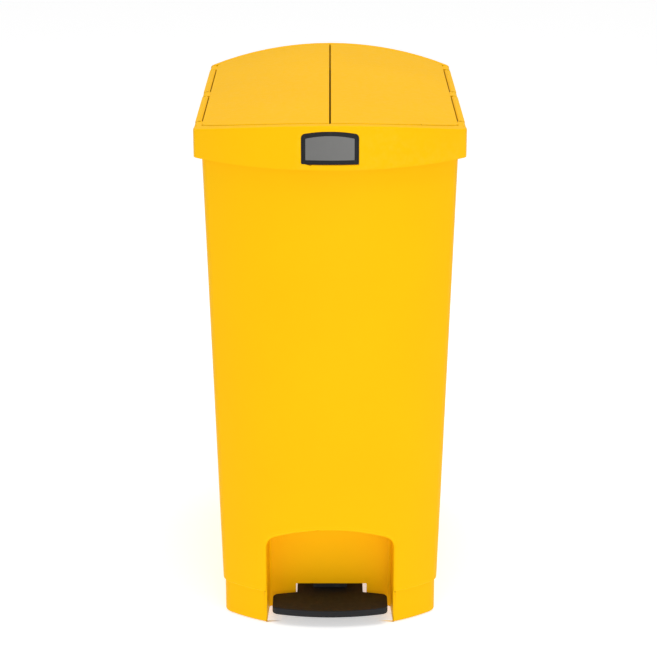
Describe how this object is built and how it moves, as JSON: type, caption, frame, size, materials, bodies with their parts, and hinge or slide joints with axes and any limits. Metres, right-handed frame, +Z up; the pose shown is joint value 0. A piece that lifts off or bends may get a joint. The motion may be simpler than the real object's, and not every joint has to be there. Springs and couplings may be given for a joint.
{
  "type": "pedal waste bin",
  "caption": "Slim waste bin with bowed ends, a lid of two wings hinged along the long sides, a lift-out liner and a foot pedal at the narrow end.",
  "frame": {"origin": "middle of the footprint, on the ground", "axes": "+Z up, -Y towards the pedal, +X across the narrow width"},
  "size_m": [0.265, 0.425, 0.535],
  "materials": {
    "body_yellow": "moulded polypropylene, satin",
    "pedal_black": "moulded, fine texture",
    "inner_grey": "moulded, matt",
    "nylon": "natural nylon",
    "zinc_steel": "zinc plated",
    "black_steel": "black powder coat",
    "rubber": "moulded rubber"
  },
  "bodies": {
    "casing": {"body_shell": "body_yellow", "lid_frame": "body_yellow", "label_plate": "pedal_black", "damper_body": "pedal_black", "inner_liner": "inner_grey", "linkage_guard": "inner_grey", "rod_guide_lower": "nylon", "rod_guide_upper": "nylon", "pedal_axle": "zinc_steel", "axle_bracket_left": "zinc_steel", "axle_bracket_right": "zinc_steel", "axle_clip_left": "zinc_steel", "axle_clip_right": "zinc_steel", "left_hinge_rod": "zinc_steel", "right_hinge_rod": "zinc_steel", "bracket_screw_left": "zinc_steel", "bracket_screw_right": "zinc_steel", "frame_screw_1": "zinc_steel", "frame_screw_2": "zinc_steel", "frame_screw_3": "zinc_steel", "frame_screw_4": "zinc_steel", "guard_screw_1": "zinc_steel", "guard_screw_2": "zinc_steel", "guard_screw_3": "zinc_steel", "guard_screw_4": "zinc_steel", "rubber_foot_1": "rubber", "rubber_foot_2": "rubber", "rubber_foot_3": "rubber", "rubber_foot_4": "rubber", "bumper_front_left": "rubber", "bumper_front_right": "rubber", "bumper_rear_left": "rubber", "bumper_rear_right": "rubber"},
    "left_wing_body": {"left_wing": "body_yellow", "left_crank_pin": "zinc_steel"},
    "right_wing_body": {"right_wing": "body_yellow", "right_crank_pin": "zinc_steel"},
    "lift": {"lift_yoke": "zinc_steel", "yoke_clamp": "inner_grey", "clamp_screw_left": "zinc_steel", "clamp_screw_right": "zinc_steel", "lift_rod": "zinc_steel", "rod_foot": "pedal_black", "damper_rod": "zinc_steel"},
    "pedal_arm": {"pedal": "pedal_black", "pedal_lever": "black_steel", "pedal_screw_front": "zinc_steel", "pedal_screw_rear": "zinc_steel", "axle_bush_left": "nylon", "axle_bush_right": "nylon"}
  },
  "joints": [
    {"name": "left_wing_hinge", "type": "hinge", "parent": "casing", "child": "left_wing_body", "pos_m": [-0.1292, 0, 0.51657], "axis": [0, -1, 0], "range_deg": [0, 85]},
    {"name": "right_wing_hinge", "type": "hinge", "parent": "casing", "child": "right_wing_body", "pos_m": [0.1292, 0, 0.51657], "axis": [0, 1, 0], "range_deg": [0, 85]},
    {"name": "lift_slide", "type": "slide", "parent": "casing", "child": "lift", "axis": [0, 0, 1], "range_m": [0, 0.02162]},
    {"name": "pedal_pivot", "type": "hinge", "parent": "casing", "child": "pedal_arm", "pos_m": [0, -0.08, 0.0145], "axis": [1, 0, 0], "range_deg": [0, 5.48]}
  ],
  "couplings": [
    {"joint": "right_wing_hinge", "follows": "left_wing_hinge", "ratio": 1},
    {"joint": "lift_slide", "follows": "left_wing_hinge", "m_per_rad": 0.014573},
    {"joint": "pedal_pivot", "follows": "left_wing_hinge", "ratio": 0.064466}
  ]
}
